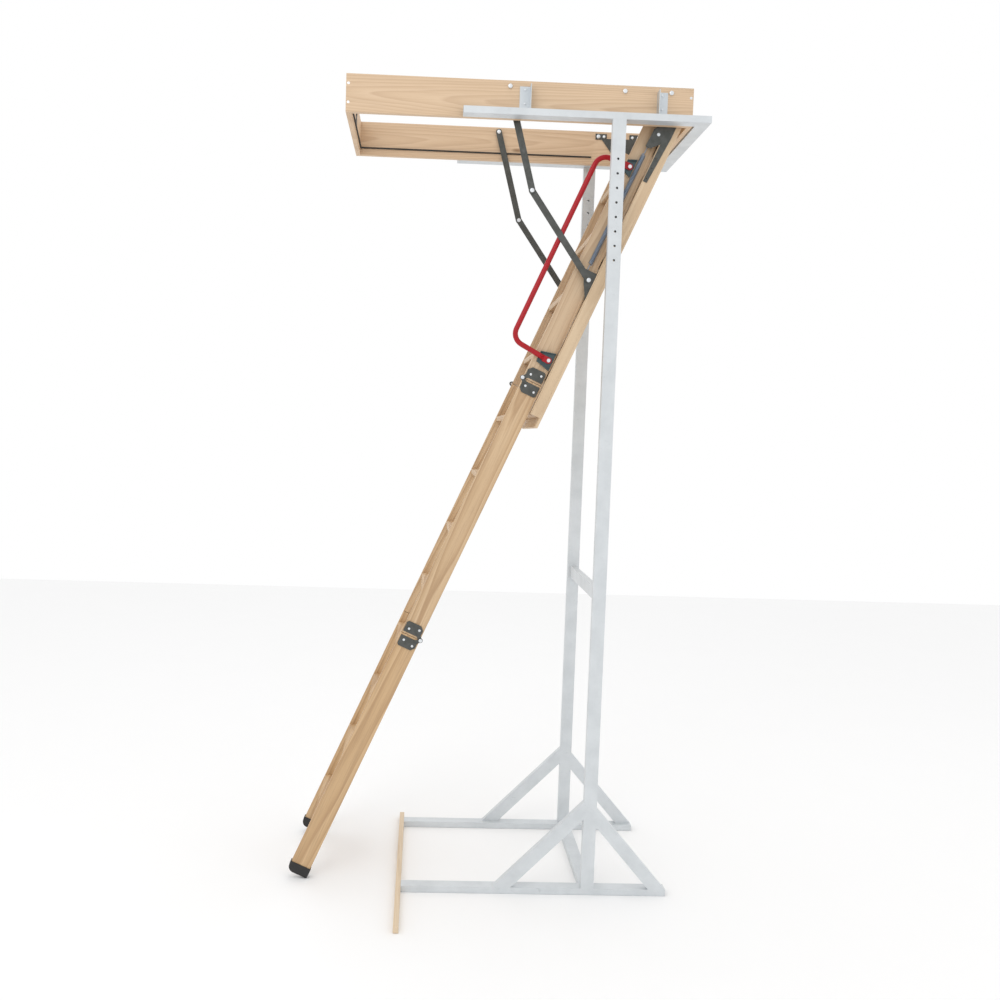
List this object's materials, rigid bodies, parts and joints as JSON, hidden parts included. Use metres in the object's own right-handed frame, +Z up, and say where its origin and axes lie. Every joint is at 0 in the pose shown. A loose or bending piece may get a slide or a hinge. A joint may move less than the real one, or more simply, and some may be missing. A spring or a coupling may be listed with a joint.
{
  "type": "attic ladder",
  "caption": "Folding timber attic ladder with hatch box, hinged hatch leaf, stay arms, springs and side handrail, open on a steel tube display stand.",
  "frame": {"origin": "on the floor, midway between the two posts, under the base cross tube", "axes": "+X along the hatch towards its hinge, +Y across the hatch away from the handrail side, +Z up"},
  "size_m": [1.5091, 1.055, 3.083],
  "materials": {
    "pine": "planed, bare",
    "panel_board": "smooth board",
    "seal_rubber": "matte",
    "black_rubber": "matte",
    "dark_steel": "satin",
    "teal_steel": "satin",
    "zinc": "zinc plated",
    "red_paint": "gloss",
    "spring_steel": "zinc plated",
    "painted_tube": "silver paint",
    "galvanised": "galvanised"
  },
  "bodies": {
    "stand_and_box": {"angle_brackets": "galvanised", "angle_screws": "zinc", "arm_pivot_bolts": "zinc", "base_cross_tube": "painted_tube", "base_rails": "painted_tube", "box_end_front": "pine", "box_end_hinge": "pine", "box_screws": "zinc", "box_seal": "seal_rubber", "box_side_far": "pine", "box_side_near": "pine", "braces": "painted_tube", "bracket_bolts": "zinc", "floor_lath": "pine", "head_cross_tube": "painted_tube", "head_rails": "painted_tube", "hinge_brackets": "dark_steel", "hinge_pins": "zinc", "mid_cross_tube": "painted_tube", "post_far": "painted_tube", "post_near": "painted_tube", "striker_plate": "dark_steel"},
    "hatch": {"hatch_cover_board": "panel_board", "hatch_stiles": "pine", "hatch_cross_rails": "pine", "hatch_lining": "panel_board", "hinge_leaves": "dark_steel", "leaf_screws": "zinc", "stringer_clamps": "dark_steel", "arm_ears": "dark_steel", "ear_pins": "zinc", "handrail": "red_paint", "handrail_brackets": "teal_steel", "handrail_bolts": "zinc", "spring_near": "spring_steel", "spring_far": "spring_steel", "latch_cover": "dark_steel", "upper_stringer_near": "pine", "upper_stringer_far": "pine", "upper_treads": "pine", "upper_plate_screws": "zinc", "upper_hinge_plates": "dark_steel", "upper_hinge_pins": "zinc"},
    "latch": {"latch_bolt": "zinc"},
    "middle_section": {"middle_stringer_near": "pine", "middle_stringer_far": "pine", "middle_treads": "pine", "middle_plate_screws": "zinc", "middle_hinge_plates": "dark_steel", "lower_hinge_pins": "zinc"},
    "lower_section": {"lower_stringer_near": "pine", "lower_stringer_far": "pine", "lower_treads": "pine", "lower_plate_screws": "zinc", "lower_hinge_plates": "dark_steel", "foot_caps": "black_rubber"},
    "upper_arms": {"upper_arms": "dark_steel", "knee_rivets_outer": "zinc"},
    "lower_arms": {"lower_arms": "dark_steel", "knee_rivets_inner": "zinc"}
  },
  "joints": [
    {"name": "hatch_hinge", "type": "hinge", "parent": "stand_and_box", "child": "hatch", "pos_m": [0.226, 0, 2.963], "axis": [0, 1, 0], "range_deg": [0, 60]},
    {"name": "ladder_fold", "type": "hinge", "parent": "hatch", "child": "middle_section", "pos_m": [-0.31401, 0, 1.99655], "axis": [0, 1, 0], "range_deg": [0, 180]},
    {"name": "lower_fold", "type": "hinge", "parent": "middle_section", "child": "lower_section", "pos_m": [-0.67562, 0, 0.96379], "axis": [0, 1, 0], "range_deg": [-180, 0]},
    {"name": "upper_arm_swing", "type": "hinge", "parent": "stand_and_box", "child": "upper_arms", "pos_m": [-0.404, 0, 3.062], "axis": [0, 1, 0], "range_deg": [0, 116.91]},
    {"name": "lower_arm_swing", "type": "hinge", "parent": "hatch", "child": "lower_arms", "pos_m": [-0.07792, 0, 2.37016], "axis": [0, 1, 0], "range_deg": [-82.84, 0]},
    {"name": "latch_slide", "type": "slide", "parent": "hatch", "child": "latch", "axis": [0.4019, 0, 0.9157], "range_m": [0, 0.012], "stiffness_N_per_m": 120, "springref_m": -0.004}
  ],
  "couplings": [
    {"joint": "lower_fold", "follows": "ladder_fold", "ratio": -1},
    {"joint": "upper_arm_swing", "follows": "hatch_hinge", "ratio": 1.9484},
    {"joint": "lower_arm_swing", "follows": "hatch_hinge", "ratio": -1.3805}
  ]
}
